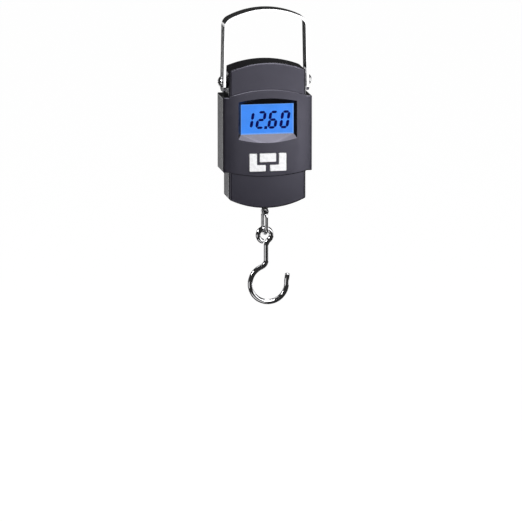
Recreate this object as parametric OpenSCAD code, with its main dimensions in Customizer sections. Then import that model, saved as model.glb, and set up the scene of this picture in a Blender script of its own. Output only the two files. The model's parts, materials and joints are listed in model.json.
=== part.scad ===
// Hand-held digital hanging scale: a steel bail handle, a two-piece housing on its screws,
// a load cell inside, and a hook on a wire link below.
// X is to the right, -Y is the front with the display, +Z is up. Millimetres.
// The origin is the grip point, under the middle of the handle's top bar.
// Modules of the housing are drawn about the handle screws' axis and moved down by hung().

/* [Housing] */
// Width of the upper and lower body
body_w = 60.4; // [58:0.2:76]
// Depth of the upper and lower body, front to back
body_d = 26; // [25:0.5:32]
// Height of the body above the handle screws' axis
body_above = 16; // [14:0.5:22]
// Reach of the body below the handle screws' axis
body_below = 98; // [90:1:125]
// Wall thickness of both covers
wall = 2; // [1.6:0.1:2.4]
// Radius of the body's crown
crown_r = 78; // [60:1:120]
// Radius of the body's round bottom
keel_r = 66; // [55:1:120]
// Radius of the corners seen from the front
corner_r = 2.6; // [1.5:0.1:5]
// Radius of the upright edges
edge_r = 2.2; // [1.2:0.1:4]
// Radius of the rims round the crown and the bottom
rim_r = 1.2; // [0.6:0.1:2]

/* [Band] */
// How far the band stands out at each side
band_reach = 4.8; // [4:0.1:8]
// Height by which the band stands proud at the front and the back
band_rise = 1; // [0.6:0.1:2]
// Distance of the shoulders below the screws' axis
shoulder_drop = 10.4; // [10:0.2:14]
// Height of the band at its sides
band_h = 58.7; // [56:0.1:72]
// Height of the panel's upper arch above the shoulders
upper_arch = 5.6; // [3:0.1:8]
// Depth of the panel's lower arch below the band
lower_arch = 4; // [3:0.1:7]
// Radius of the panel's upper arch
upper_arch_r = 94; // [80:1:140]
// Radius of the panel's lower arch
lower_arch_r = 127; // [90:1:160]
// Rounding of the band's shoulders
shoulder_r = 1; // [0.5:0.1:1.8]
// Rounding of the panel's arched edges
panel_r = 0.7; // [0.4:0.1:0.9]

/* [Display] */
// Width of the display area
view_w = 41.3; // [34:0.1:43]
// Height of the display area
view_h = 23.5; // [18:0.1:26]
// Distance of the display's centre below the screws' axis
view_drop = 28.2; // [27:0.1:31]
// Depth of the bevelled recess round the display
recess_depth = 2.6; // [2.2:0.1:3.2]
// Width of the recess beside the display
recess_side = 2.3; // [1.5:0.1:3]
// Thickness of the clear window
window_t = 1.2; // [0.8:0.1:1.6]
// Thickness of the glass display cell
lcd_t = 1.8; // [1.2:0.1:2]
// Thickness of the backlight
light_t = 1.5; // [1:0.1:2]
// Thickness of the circuit board
board_t = 1.2; // [0.8:0.1:1.6]

/* [Keys] */
// Width of the group of three keys
keys_w = 28.9; // [28:0.1:34]
// Height of the group of three keys
keys_h = 13.9; // [13:0.1:17]
// Distance of the keys' centre below the screws' axis
keys_drop = 61.7; // [60:0.1:62]
// Width of an angled key's upright arm
arm_w = 5.8; // [5:0.1:6]
// Height of an angled key's foot
foot_h = 4.8; // [4:0.1:5]
// Width of the middle key
middle_w = 12.7; // [9:0.1:12.8]
// Height of the middle key
middle_h = 6.6; // [5:0.1:6.8]
// Gap between the feet of the two angled keys
foot_gap = 3.4; // [2.4:0.1:5]
// How far a key stands out of the panel
key_proud = 1; // [0.8:0.1:1.4]
// How far a key can be pressed
key_travel = 0.6; // [0.3:0.1:0.7]
// Corner radius of a key
key_r = 0.7; // [0.3:0.1:1]

/* [Handle] */
// Height of the handle above the screws' axis, to the top of its arch
handle_rise = 57; // [50:1:75]
// Width of the handle's strip
strip_w = 15; // [10:0.5:16]
// Thickness of the handle's strip
strip_t = 2; // [1.5:0.1:2.5]
// Inward lean of each leg, in degrees
leg_lean = 1.2; // [0:0.1:3]
// Radius of the handle's upper corners, at the middle of the strip
bend_r = 7; // [5:0.5:12]
// Radius of the handle's arched top, at the middle of the strip
arch_r = 63; // [50:1:120]
// Diameter of the screw's shoulder, on which the handle turns
shoulder_d = 5; // [4:0.1:6]
// Diameter of the screw's thread
thread_d = 4; // [3:0.1:5]
// Diameter of the screw's domed head
head_d = 9.5; // [8:0.1:12]
// Height of the screw's domed head
head_h = 3; // [2:0.1:3.5]
// Thickness of the washer between handle and housing
washer_t = 1.2; // [0.8:0.1:2]

/* [Load train] */
// Width of the load cell
cell_w = 12; // [10:0.5:13]
// Depth of the load cell
cell_d = 7; // [6:0.5:7]
// Length of the load cell
cell_len = 58; // [50:1:62]
// Side of the square cross bar that the handle screws enter
bar_side = 8; // [7:0.5:10]
// Diameter of the pull rod
rod_d = 5; // [4:0.1:5.6]
// Distance of the rod's eye below the body
eye_drop = 5; // [4.5:0.1:8]
// Width of the rod's flat eye
eye_w = 5.8; // [5.4:0.1:7]
// Thickness of the rod's flat eye
eye_t = 2.4; // [2:0.1:2.6]
// Turn of the eye and the link about the pull line, in degrees
eye_turn = 12; // [-30:1:30]

/* [Link and hook] */
// Diameter of the link's wire
link_wire = 2.8; // [2.4:0.1:3]
// Length of the link between the centres of its two bars
link_pitch = 17; // [15:0.5:24]
// Diameter of the hook's wire
hook_wire = 4; // [3.2:0.1:5]
// Radius of the hook's eye, at the middle of the wire
ring_r = 5.2; // [5:0.1:7]
// Length from the centre of the hook's eye to the centre of its bowl
hook_len = 38.6; // [36:0.1:48]
// Radius of the hook's bowl, at the middle of the wire
bowl_r = 14.4; // [12:0.1:18]
// Offset of the stem from the centre of the eye
stem_x = 1.2; // [0.5:0.1:2]
// Offset of the bowl's centre from the centre of the eye
bowl_x = 2.9; // [2:0.1:4]
// Radius of the bends above and below the stem
neck_r = 6; // [5:0.1:8]
// Length of the flared tip
tip_len = 7; // [4:0.5:10]
// Outward flare of the tip, in degrees
tip_flare = 13; // [5:1:20]

/* [Power] */
// Diameter of an AAA battery
battery_d = 10.5; // [10.5:0.1:10.6]
// Length of an AAA battery
battery_len = 44.5; // [44.5:0.1:45]
// Distance of each battery's centre from the middle
battery_x = 16; // [15.8:0.1:16.5]
// Space for a battery spring
spring_len = 4.6; // [4:0.1:5]
// Thickness of the battery door
door_t = 1.8; // [1.5:0.1:2]
// Thickness of the battery tray's walls
tray_t = 1.2; // [1:0.1:1.4]

/* [Fits] */
// Gap between pieces that move past each other
move_gap = 0.35; // [0.2:0.05:0.5]
// Radial clearance of a shaft that turns in a hole
run_gap = 0.05; // [0.02:0.01:0.1]
// Gap between the handle's legs and the washers and screw heads
leg_gap = 0.25; // [0.2:0.05:0.4]
// Gap between pieces that are put together
seat_gap = 0.1; // [0.05:0.05:0.2]

/* [Hidden] */
$fn = 96;

// Handle, and how far the screws' axis hangs below the grip
grip_drop = handle_rise - strip_t;
leg_x = body_w / 2 + washer_t + leg_gap + strip_t / 2;

// Body and band
band_w = body_w + 2 * band_reach;
band_d = body_d + 2 * band_rise;
face_y = -band_d / 2;
back_y = band_d / 2;
part_y = back_y - 6;
lip = 1;
band_low = -shoulder_drop - band_h;
crown_z = body_above - crown_r;
keel_z = keel_r - body_below;

// Layers behind the display, from the front
window_y = face_y + recess_depth;
lcd_y = window_y + window_t + seat_gap;
light_y = lcd_y + lcd_t + seat_gap;
board_y = light_y + light_t + seat_gap;
glass_margin = 2.2;
sill_arch = 3.2;
brow_arch = 2.5;
sill_h = 3.4;
brow_h = 2.2;

// Keys: their flange lies against the inside of the wall
flange = 0.7;
flange_t = 1;
flange_y = face_y + wall + seat_gap;
key_back_y = flange_y + flange_t + 0.6;
switch_y = key_back_y + key_travel + seat_gap;

// Batteries, side by side behind the board, one on each side of the load cell
door_y = back_y - door_t;
battery_r = battery_d / 2;
battery_y = door_y - seat_gap - 0.3 - battery_r;
contact_t = 0.4;
bay_r = battery_r + 0.4;
bay_len = battery_len + spring_len + 2 * contact_t;
bay_z = -shoulder_drop - band_h / 2;
bay_x = battery_x + bay_r;
tray_x = bay_x + 3;
door_w = 2 * (bay_x + 1.3);
door_h = bay_len + 2 * 1.3;
door_low = bay_z - door_h / 2;
door_corner = 0.8;
hinge_y = back_y - door_t / 2;
hinge_z = door_low + door_t / 2;
hinge_pin_r = 0.5;
hinge_pin_len = 1;

// Circuit board and its posts
board_half = view_w / 2 + glass_margin + 1.5;
board_low = band_low + wall + 0.8;
board_top = -view_drop + view_h / 2 + glass_margin;
board_pin_r = 1;
board_post_x = board_half - 3;
board_post_z = [board_low + 3, -view_drop - view_h / 2 - glass_margin - 2.4];

// Case screws in the corners of the band
post_r = 3;
post_x = band_w / 2 - wall - post_r - 0.4;
post_z = [-shoulder_drop - wall - post_r - 0.6, band_low + wall + post_r + 0.6];
pilot_r = 1;
case_head_r = 2.4;
case_head_h = 1.6;
case_screw_len = 12;

// Load train
bar_len = body_w - 2 * wall - 2 * seat_gap;
cell_top = -bar_side / 2;
cell_low = cell_top - cell_len;
gauge_t = 0.15;
eye_z = -body_below - eye_drop;
eye_hole_r = link_wire / 2 + 0.4;
nut_h = 3.2;
nut_d = 8;
bush_r = rod_d / 2 + 1.6;

// Link and hook
link_gap = hook_wire + 1.4;
link_r = (link_gap + link_wire) / 2;
link_low = eye_z - link_pitch;
ring_z = link_low + link_wire / 2 + 0.3 + hook_wire / 2 - ring_r;
bowl_z = ring_z - hook_len;
neck_turn = acos((stem_x + neck_r) / (ring_r + neck_r));
neck_z = ring_z - (ring_r + neck_r) * sin(neck_turn);
knee_z = bowl_z + sqrt(pow(bowl_r + neck_r, 2) - pow(stem_x - neck_r - bowl_x, 2));
knee_turn = atan2(knee_z - bowl_z, stem_x - neck_r - bowl_x);
tip_r = tip_len / tip_flare * 180 / PI;

// ---------- shared shapes ----------

// Places what is drawn about the handle screws' axis
module hung() {
    translate([0, 0, -grip_drop])
    children();
}

// Turns a flat outline drawn in X and Z into a slab from y0 to y1
module slab(y0, y1) {
    translate([0, y1, 0])
    rotate([90, 0, 0])
    linear_extrude(y1 - y0)
    children();
}

// Rectangle with round corners, centred on the origin
module rounded_rect(w, h, r) {
    square([w - 2 * r, h], center = true);
    square([w, h - 2 * r], center = true);
    for (sx = [-1, 1], sy = [-1, 1])
        translate([sx * (w / 2 - r), sy * (h / 2 - r)])
        circle(r);
}

// Block whose plan has round corners and whose upper and lower rims are round
module rounded_block(size, plan_r, rim) {
    intersection() {
        linear_extrude(size.z, center = true)
        rounded_rect(size.x, size.y, plan_r);
        rotate([90, 0, 0])
        linear_extrude(size.y + 1, center = true)
        rounded_rect(size.x, size.z, rim);
        rotate([90, 0, 90])
        linear_extrude(size.x + 1, center = true)
        rounded_rect(size.y, size.z, rim);
    }
}

// Disc that stands on edge, with its axis along Y and round rims
module edge_disc(r, depth, rim) {
    rotate([90, 0, 0])
    rotate_extrude($fn = 256) {
        translate([0, -depth / 2 + rim])
        square([r, depth - 2 * rim]);
        translate([0, -depth / 2])
        square([r - rim, depth]);
        for (s = [-1, 1])
            translate([r - rim, s * (depth / 2 - rim)])
            circle(rim, $fn = 48);
    }
}

// Piece of round wire bent in X and Z: its centre, bend radius and two angles from +X
module wire_bend(x, z, r, from, to, d) {
    translate([x, 0, z])
    rotate([90, 0, 0])
    rotate([0, 0, from])
    rotate_extrude(angle = to - from, $fn = 72)
    translate([r, 0])
    circle(d / 2, $fn = 32);
}

// Bead that joins two bends of wire
module wire_joint(x, z, d) {
    translate([x, 0, z])
    sphere(r = d / 2 + 0.05, $fn = 32);
}

// ---------- handle ----------

// Corner of the bail: the circle that is tangent to the leg and to the arched top
arch_z = handle_rise - strip_t / 2 - arch_r;
leg_dir = [-sin(leg_lean), cos(leg_lean)];
corner_from = [leg_x - bend_r * cos(leg_lean), -bend_r * sin(leg_lean) - arch_z];
corner_along = corner_from * leg_dir;
leg_len = -corner_along + sqrt(pow(corner_along, 2) - corner_from * corner_from + pow(arch_r - bend_r, 2));
corner_at = corner_from + leg_len * leg_dir + [0, arch_z];
corner_turn = atan2(corner_at[1] - arch_z, corner_at[0]);

// Area inside the bail, seen from the front, with its edge moved outwards by grow
module bail_area(grow) {
    leg_out = [cos(leg_lean), sin(leg_lean)];
    shoulder = corner_at + (bend_r + grow) * leg_out;
    foot = shoulder - (leg_len + strip_w) * leg_dir;
    fan = corner_at + 2 * bend_r * [cos(corner_turn), sin(corner_turn)];
    for (side = [0, 1])
        mirror([side, 0]) {
            translate(corner_at)
            circle(bend_r + grow);
            polygon([[0, foot[1]], foot, shoulder, corner_at, [0, corner_at[1]]]);
        }
    intersection() {
        translate([0, arch_z])
        circle(arch_r + grow, $fn = 256);
        polygon([[0, arch_z], fan, [0, 2 * handle_rise], [-fan[0], fan[1]]]);
    }
}

module handle() {
    color("silver")
    hung()
    difference() {
        intersection() {
            slab(-strip_w / 2, strip_w / 2)
            difference() {
                bail_area(strip_t / 2);
                bail_area(-strip_t / 2);
            }
            // Round ends of the legs, seen from the side
            rotate([90, 0, 90])
            linear_extrude(4 * leg_x, center = true) {
                circle(strip_w / 2);
                translate([-strip_w / 2, 0])
                square([strip_w, 2 * handle_rise]);
            }
        }
        rotate([0, 90, 0])
        cylinder(r = shoulder_d / 2 + run_gap, h = 4 * leg_x, center = true);
    }
}

// Shoulder screw: a domed head with a cross slot, a plain shoulder and the thread
module handle_screw() {
    shoulder_from = body_w / 2 - wall;
    head_from = leg_x + strip_t / 2 + leg_gap;
    dome_r = (pow(head_d / 2, 2) + pow(head_h, 2)) / (2 * head_h);
    rotate([0, 90, 0]) {
        difference() {
            intersection() {
                translate([0, 0, head_from])
                cylinder(r = head_d / 2, h = head_h);
                translate([0, 0, head_from + head_h - dome_r])
                sphere(dome_r);
            }
            for (turn = [0, 90])
                rotate([0, 0, turn])
                translate([-2.4, -0.5, head_from + head_h - 1.3])
                cube([4.8, 1, 2]);
        }
        translate([0, 0, shoulder_from])
        cylinder(r = shoulder_d / 2, h = head_from - shoulder_from);
        translate([0, 0, shoulder_from - 8])
        cylinder(r = thread_d / 2, h = 8);
    }
}

module handle_screws() {
    color("gainsboro")
    hung() {
        handle_screw();
        mirror([1, 0, 0])
        handle_screw();
    }
}

module handle_washers() {
    color("dimgray")
    hung()
    for (side = [0, 1])
        mirror([side, 0, 0])
        translate([body_w / 2, 0, 0])
        rotate([0, 90, 0])
        difference() {
            cylinder(r = shoulder_d / 2 + 2.5, h = washer_t);
            translate([0, 0, -1])
            cylinder(r = shoulder_d / 2 + run_gap, h = washer_t + 2);
        }
}

// ---------- housing ----------

// Body seen from the front: straight sides between the crown and the round bottom
module body_outline(inset) {
    half = body_w / 2 - inset;
    r = max(corner_r - inset, 0.5);
    for (end = [[crown_r - inset, crown_z, 1], [keel_r - inset, keel_z, -1]]) {
        corner_x = half - r;
        reach = sqrt(pow(end[0] - r, 2) - pow(corner_x, 2));
        tangent_x = corner_x * end[0] / (end[0] - r);
        translate([0, end[1]]) {
            for (s = [-1, 1])
                translate([s * corner_x, end[2] * reach])
                circle(r, $fn = 48);
            intersection() {
                circle(end[0], $fn = 256);
                translate([-tangent_x, end[2] > 0 ? 0 : -end[0]])
                square([2 * tangent_x, end[0]]);
            }
            translate([-half, end[2] > 0 ? -body_above : -reach])
            square([2 * half, reach + body_above]);
        }
    }
}

// Narrow body from crown to bottom; the inset gives the inside of its walls
module body_form(inset) {
    intersection() {
        translate([0, 0, -body_below - 1])
        linear_extrude(body_above + body_below + 2)
        rounded_rect(body_w - 2 * inset, body_d - 2 * inset, max(edge_r - inset, 0.5));
        slab(-body_d, body_d)
        body_outline(inset);
        translate([0, 0, crown_z])
        edge_disc(crown_r - inset, body_d - 2 * inset, max(rim_r - inset, 0.4));
        translate([0, 0, keel_z])
        edge_disc(keel_r - inset, body_d - 2 * inset, max(rim_r - inset, 0.4));
    }
}

// Wide band round the middle of the body
module band_form(inset) {
    translate([0, 0, -shoulder_drop - band_h / 2])
    rounded_block([band_w - 2 * inset, band_d - 2 * inset, band_h - 2 * inset],
        max(edge_r - inset, 0.5), max(shoulder_r - inset, 0.4));
}

// Arched ends of the raised panel, on the front and the back of the body
module panel_arches() {
    strip = 2 * body_w;
    mid_z = -shoulder_drop - band_h / 2;
    intersection() {
        translate([0, 0, upper_arch - shoulder_drop - upper_arch_r])
        edge_disc(upper_arch_r, band_d, panel_r);
        translate([-body_w / 2, -band_d, mid_z])
        cube([body_w, 2 * band_d, strip]);
    }
    intersection() {
        translate([0, 0, band_low - lower_arch + lower_arch_r])
        edge_disc(lower_arch_r, band_d, panel_r);
        translate([-body_w / 2, -band_d, mid_z - strip])
        cube([body_w, 2 * band_d, strip]);
    }
}

module housing_form(inset) {
    body_form(inset);
    band_form(inset);
}

// Recess that narrows from an arched opening in the face to the display area
module display_recess() {
    brow = view_h / 2 + brow_h + brow_arch;
    sill = view_h / 2 + sill_h + sill_arch;
    half = view_w / 2 + recess_side;
    brow_r = (half * half + brow_arch * brow_arch) / (2 * brow_arch);
    sill_r = (half * half + sill_arch * sill_arch) / (2 * sill_arch);
    translate([0, 0, -view_drop])
    hull() {
        slab(window_y - 0.01, window_y + 0.01)
        square([view_w, view_h], center = true);
        slab(face_y - 0.02, face_y)
        intersection() {
            square([2 * half, 4 * view_h], center = true);
            translate([0, brow - brow_r])
            circle(brow_r, $fn = 180);
            translate([0, sill_r - sill])
            circle(sill_r, $fn = 180);
        }
    }
}

// Outlines of the three keys, grown by a margin: two angled keys and a plain one
module angled_key_outline(margin) {
    foot_w = (keys_w - foot_gap) / 2;
    for (size = [[arm_w, keys_h], [foot_w, foot_h]])
        translate([(size[0] - keys_w) / 2, (size[1] - keys_h) / 2])
        rounded_rect(size[0] + 2 * margin, size[1] + 2 * margin, key_r + margin);
}

module middle_key_outline(margin) {
    translate([0, (keys_h - middle_h) / 2])
    rounded_rect(middle_w + 2 * margin, middle_h + 2 * margin, key_r + margin);
}

module key_outlines(margin) {
    angled_key_outline(margin);
    mirror([1, 0])
    angled_key_outline(margin);
    middle_key_outline(margin);
}

// Places for the case screws
module at_posts() {
    for (side = [-1, 1], z = post_z)
        translate([side * post_x, 0, z])
        children();
}

// Places for the posts that carry the circuit board, at its corners below the display
module at_board_posts() {
    for (side = [-1, 1], z = board_post_z)
        translate([side * board_post_x, 0, z])
        children();
}

// Round bar along Y
module y_bar(r, y0, y1) {
    translate([0, y1, 0])
    rotate([90, 0, 0])
    cylinder(r = r, h = y1 - y0);
}

module front_cover() {
    inner_y = face_y + wall;
    color("#34333b")
    hung()
    difference() {
        union() {
            difference() {
                union() {
                    housing_form(0);
                    panel_arches();
                }
                housing_form(wall);
            }
            // Seat of the window, behind the recess
            translate([0, 0, -view_drop])
            slab(face_y + wall / 2, window_y)
            rounded_rect(view_w + 2 * glass_margin + 2, view_h + 2 * glass_margin + 2, 1);
            // Posts for the case screws
            at_posts()
            y_bar(post_r, inner_y - wall / 2, part_y);
            // Posts for the circuit board, with pins through its holes
            at_board_posts() {
                y_bar(board_pin_r + 1, inner_y - wall / 2, board_y);
                y_bar(board_pin_r, board_y - 1, board_y + board_t + 0.8);
            }
        }
        // Everything behind the parting plane, and the groove for the rear cover's lip
        translate([-band_w, part_y, -2 * body_below])
        cube([2 * band_w, band_d, 3 * body_below]);
        intersection() {
            housing_form(wall / 2);
            translate([-band_w, part_y - lip, -2 * body_below])
            cube([2 * band_w, band_d, 3 * body_below]);
        }
        display_recess();
        // Opening of the display, key holes and pilot holes
        translate([0, 0, -view_drop])
        slab(window_y - seat_gap, board_y)
        square([view_w, view_h], center = true);
        translate([0, 0, -keys_drop]) {
            slab(face_y - 1, inner_y + 1)
            key_outlines(move_gap);
            // Room behind the wall for the keys' flanges
            slab(inner_y, key_back_y)
            square([keys_w + 2 * (flange + move_gap), keys_h + 2 * (flange + move_gap)], center = true);
        }
        at_posts()
        y_bar(pilot_r, part_y - case_screw_len, part_y + 1);
        // Holes for the handle screws and the pull rod
        translate([-body_w, 0, 0])
        rotate([0, 90, 0])
        cylinder(r = shoulder_d / 2 + seat_gap, h = 2 * body_w);
        translate([0, 0, -body_below - 1])
        cylinder(r = bush_r + seat_gap, h = 2 * wall + 1);
    }
}

// Two half-round troughs for the batteries, open to the back
module tray_form() {
    low = bay_z - bay_len / 2 - tray_t;
    height = bay_len + 2 * tray_t;
    for (side = [-1, 1])
        translate([side * battery_x, battery_y, low])
        cylinder(r = bay_r + tray_t, h = height);
    translate([-tray_x, battery_y, low])
    cube([2 * tray_x, back_y - wall / 2 - battery_y, height]);
}

module tray_space() {
    for (side = [-1, 1])
        translate([side * battery_x, 0, bay_z - bay_len / 2]) {
            translate([0, battery_y, 0])
            cylinder(r = bay_r, h = bay_len);
            translate([-bay_r, battery_y, 0])
            cube([2 * bay_r, band_d, bay_len]);
        }
    // Channel that leaves room for the load cell
    translate([0, 0, bay_z])
    cube([2 * (battery_x - bay_r - tray_t), 2 * (back_y - wall - tray_t), 2 * bay_len], center = true);
}

// Axis of the battery door's pins
module at_hinge() {
    translate([0, hinge_y, hinge_z])
    rotate([0, 90, 0])
    children();
}

module rear_cover() {
    color("#1d1c21")
    hung()
    difference() {
        union() {
            difference() {
                intersection() {
                    union() {
                        housing_form(0);
                        panel_arches();
                    }
                    translate([-band_w, part_y, -2 * body_below])
                    cube([2 * band_w, band_d, 3 * body_below]);
                }
                housing_form(wall);
            }
            // Lip that enters the front cover
            intersection() {
                difference() {
                    housing_form(wall / 2 + seat_gap);
                    housing_form(wall);
                }
                translate([-band_w, part_y - lip + seat_gap, -2 * body_below])
                cube([2 * band_w, lip, 3 * body_below]);
            }
            tray_form();
            at_posts()
            y_bar(post_r, part_y, back_y - wall / 2);
        }
        tray_space();
        // Opening of the door
        translate([0, 0, bay_z])
        slab(door_y - seat_gap, back_y + 1)
        rounded_rect(door_w + 2 * move_gap, door_h + 2 * move_gap, door_corner + move_gap);
        at_hinge()
        cylinder(r = hinge_pin_r + run_gap, h = door_w + 2 * (hinge_pin_len + seat_gap), center = true);
        // Counterbores for the case screws
        at_posts() {
            y_bar(pilot_r + 0.3, part_y - 1, back_y + 1);
            y_bar(case_head_r + 0.3, back_y - case_head_h - 1, back_y + 1);
        }
    }
}

module case_screws() {
    head_y = back_y - 1;
    color("gray")
    hung()
    at_posts()
    difference() {
        union() {
            y_bar(case_head_r, head_y - case_head_h, head_y);
            y_bar(pilot_r, head_y - case_screw_len, head_y);
        }
        for (turn = [0, 90])
            rotate([0, turn, 0])
            translate([-1.4, head_y - 0.7, -0.3])
            cube([2.8, 2, 0.6]);
    }
}

// Door that swings on the pins of its round lower edge; a thumb grip and a catch are at its top
module battery_door() {
    color("#232228")
    hung()
    difference() {
        union() {
            intersection() {
                translate([0, 0, bay_z])
                slab(door_y, back_y)
                rounded_rect(door_w, door_h, door_corner);
                rotate([90, 0, 90])
                linear_extrude(2 * door_w, center = true) {
                    translate([hinge_y, hinge_z])
                    circle(door_t / 2);
                    translate([door_y, hinge_z])
                    square([door_t, door_h]);
                }
            }
            at_hinge()
            cylinder(r = hinge_pin_r, h = door_w + 2 * hinge_pin_len, center = true);
            // Catch that springs behind the cover's edge
            translate([-4, door_y, door_low + door_h - 1.2])
            cube([8, 0.9, 1.2 + move_gap / 2]);
        }
        // Grip ribs
        for (i = [0:4])
            translate([0, back_y, door_low + door_h - 4 - 1.5 * i])
            rotate([0, 90, 0])
            cylinder(r = 0.45, h = 14, center = true);
    }
}

// ---------- electronics ----------

module display_window() {
    color("lightblue", 0.4)
    hung()
    translate([0, 0, -view_drop])
    slab(window_y, window_y + window_t)
    rounded_rect(view_w + 2 * glass_margin, view_h + 2 * glass_margin, 0.8);
}

module lcd_panel() {
    color("#4a9bff")
    hung()
    translate([0, 0, -view_drop])
    slab(lcd_y, lcd_y + lcd_t)
    square([view_w + 2 * glass_margin - 0.6, view_h + 2 * glass_margin - 0.6], center = true);
}

module backlight() {
    color("white")
    hung()
    translate([0, 0, -view_drop])
    slab(light_y, light_y + light_t) {
        square([view_w + 1, view_h + 1], center = true);
        // Lamp end
        translate([view_w / 2, -3])
        square([2.4, 6]);
    }
}

// Conductive rubber strip between the glass's lower edge and the board
module zebra_strip() {
    color("hotpink")
    hung()
    translate([-view_w / 2, light_y, -view_drop - view_h / 2 - glass_margin + 0.2])
    cube([view_w, board_y - light_y, 1.4]);
}

module circuit_board() {
    color("seagreen")
    hung()
    difference() {
        slab(board_y, board_y + board_t)
        difference() {
            translate([0, (board_top + board_low) / 2])
            rounded_rect(2 * board_half, board_top - board_low, 1.5);
            // Notches in both sides
            for (side = [-1, 1])
                translate([side * board_half, -keys_drop + 8])
                circle(2.5);
        }
        at_board_posts()
        y_bar(board_pin_r + seat_gap, board_y - 1, board_y + board_t + 1);
    }
}

// Resin blob over the chip, on the back of the board
module control_chip() {
    color("#111111")
    hung()
    translate([12, board_y + board_t, -47])
    intersection() {
        rotate([-90, 0, 0])
        cylinder(r = 6, h = 2);
        translate([0, -9, 0])
        sphere(r = 11);
    }
}

// Three tact switches under the keys
module key_switches() {
    color("darkslategray")
    hung()
    for (x = [-keys_w / 2 + arm_w / 2, 0, keys_w / 2 - arm_w / 2])
        translate([x, 0, -keys_drop + keys_h / 2 - middle_h / 2]) {
            slab(switch_y + 1, board_y)
            square([4.6, 4.6], center = true);
            y_bar(1.5, switch_y, switch_y + 1.2);
        }
}

module buzzer() {
    color("black")
    hung()
    translate([-16, 0, -keys_drop])
    difference() {
        y_bar(4.5, board_y + board_t, board_y + board_t + 3);
        y_bar(0.8, board_y + board_t + 1, board_y + board_t + 4);
    }
}

// Key: a rounded cap through the wall, on a flange that the wall holds
module key_body(cap_from) {
    translate([0, 0, -keys_drop]) {
        slab(cap_from, flange_y + flange_t)
        children(0);
        slab(flange_y, flange_y + flange_t)
        children(1);
    }
}

module key_stem(x) {
    translate([x, 0, -keys_drop + keys_h / 2 - middle_h / 2])
    y_bar(1.5, flange_y + flange_t, key_back_y);
}

module angled_key() {
    key_body(face_y - key_proud) {
        angled_key_outline(0);
        angled_key_outline(flange);
    }
    key_stem(-keys_w / 2 + arm_w / 2);
}

module power_button() {
    color("whitesmoke")
    hung()
    angled_key();
}

module tare_button() {
    color("whitesmoke")
    hung()
    mirror([1, 0, 0])
    angled_key();
}

module unit_button() {
    color("whitesmoke")
    hung() {
        key_body(face_y - key_proud) {
            middle_key_outline(0);
            middle_key_outline(flange);
        }
        key_stem(0);
    }
}

// ---------- load train ----------

// Square bar between the handle screws, with the load cell's bolt through its middle
module cross_bar() {
    color("lightslategray")
    hung()
    difference() {
        cube([bar_len, bar_side, bar_side], center = true);
        for (side = [-1, 1])
            translate([side * bar_len / 2, 0, 0])
            rotate([0, -side * 90, 0])
            translate([0, 0, -1])
            cylinder(r = thread_d / 2, h = 10);
        cylinder(r = thread_d / 2, h = 2 * bar_side, center = true);
        translate([0, 0, bar_side / 2 - 2])
        cylinder(r = thread_d, h = 4);
    }
}

// Binocular load cell: a bar with two round windows joined by a slot
module load_cell() {
    window_r = cell_w / 2 - 1.6;
    mid = (cell_top + cell_low) / 2;
    color("lightgray")
    hung()
    difference() {
        translate([-cell_w / 2, -cell_d / 2, cell_low])
        cube([cell_w, cell_d, cell_len]);
        for (s = [-1, 1])
            translate([0, 0, mid + s * 8])
            y_bar(window_r, -cell_d, cell_d);
        translate([-1, -cell_d, mid - 8])
        cube([2, 2 * cell_d, 16]);
        translate([0, 0, cell_top - 10])
        cylinder(r = thread_d / 2, h = 11);
        translate([0, 0, cell_low - 1])
        cylinder(r = rod_d / 2, h = 11);
    }
}

// Four foil gauges on the load cell's thin walls
module strain_gauges() {
    mid = (cell_top + cell_low) / 2;
    color("goldenrod")
    hung()
    for (side = [-1, 1], s = [-1, 1])
        translate([side * (cell_w + gauge_t) / 2, 0, mid + s * 8])
        cube([gauge_t, 3.6, 5], center = true);
}

module cell_bolt() {
    color("gray")
    hung()
    difference() {
        union() {
            translate([0, 0, cell_top - 9])
            cylinder(r = thread_d / 2, h = 9 + bar_side);
            translate([0, 0, bar_side / 2 - 2])
            cylinder(r = thread_d - 0.3, h = 3);
        }
        translate([0, 0, bar_side / 2 - 1])
        cylinder(r = 1.5, h = 5, $fn = 6);
    }
}

// Rod from the load cell through the bottom; two flats on its end leave a thin eye
module pull_rod() {
    flat_top = eye_z + eye_w / 2 + 0.6;
    rod_top = cell_low + 9;
    clear = rod_d / 2 + 0.2;
    color("silver")
    hung()
    rotate([0, 0, eye_turn])
    difference() {
        intersection() {
            translate([0, 0, eye_z]) {
                cylinder(r = rod_d / 2, h = rod_top - eye_z);
                y_bar(eye_w / 2, -rod_d, rod_d);
            }
            // The flats run out into the round rod under the housing
            rotate([90, 0, 90])
            linear_extrude(2 * rod_d, center = true)
            polygon([
                [-eye_t / 2, eye_z - eye_w], [eye_t / 2, eye_z - eye_w], [eye_t / 2, flat_top],
                [clear, -body_below], [clear, rod_top + 1], [-clear, rod_top + 1],
                [-clear, -body_below], [-eye_t / 2, flat_top]
            ]);
        }
        translate([0, 0, eye_z])
        y_bar(eye_hole_r, -rod_d, rod_d);
    }
}

module rod_nut() {
    color("darkgray")
    hung()
    translate([0, 0, cell_low - nut_h])
    difference() {
        cylinder(r = nut_d / 2, h = nut_h, $fn = 6);
        translate([0, 0, -1])
        cylinder(r = rod_d / 2, h = nut_h + 2);
    }
}

// Flanged bush that lines the rod's hole in the housing
module rod_bush() {
    color("black")
    hung()
    translate([0, 0, -body_below])
    difference() {
        union() {
            cylinder(r = bush_r, h = wall + 1.5);
            translate([0, 0, wall + 0.5])
            cylinder(r = bush_r + 1.5, h = 1);
        }
        translate([0, 0, -1])
        cylinder(r = rod_d / 2 + 0.3, h = 2 * wall + 2);
    }
}

// ---------- power ----------

// Places for the left battery, which stands plus end up, and the right one, plus end down
module at_batteries() {
    for (side = [-1, 1])
        translate([side * battery_x, battery_y, bay_z])
        mirror([0, 0, side > 0 ? 1 : 0])
        children();
}

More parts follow.
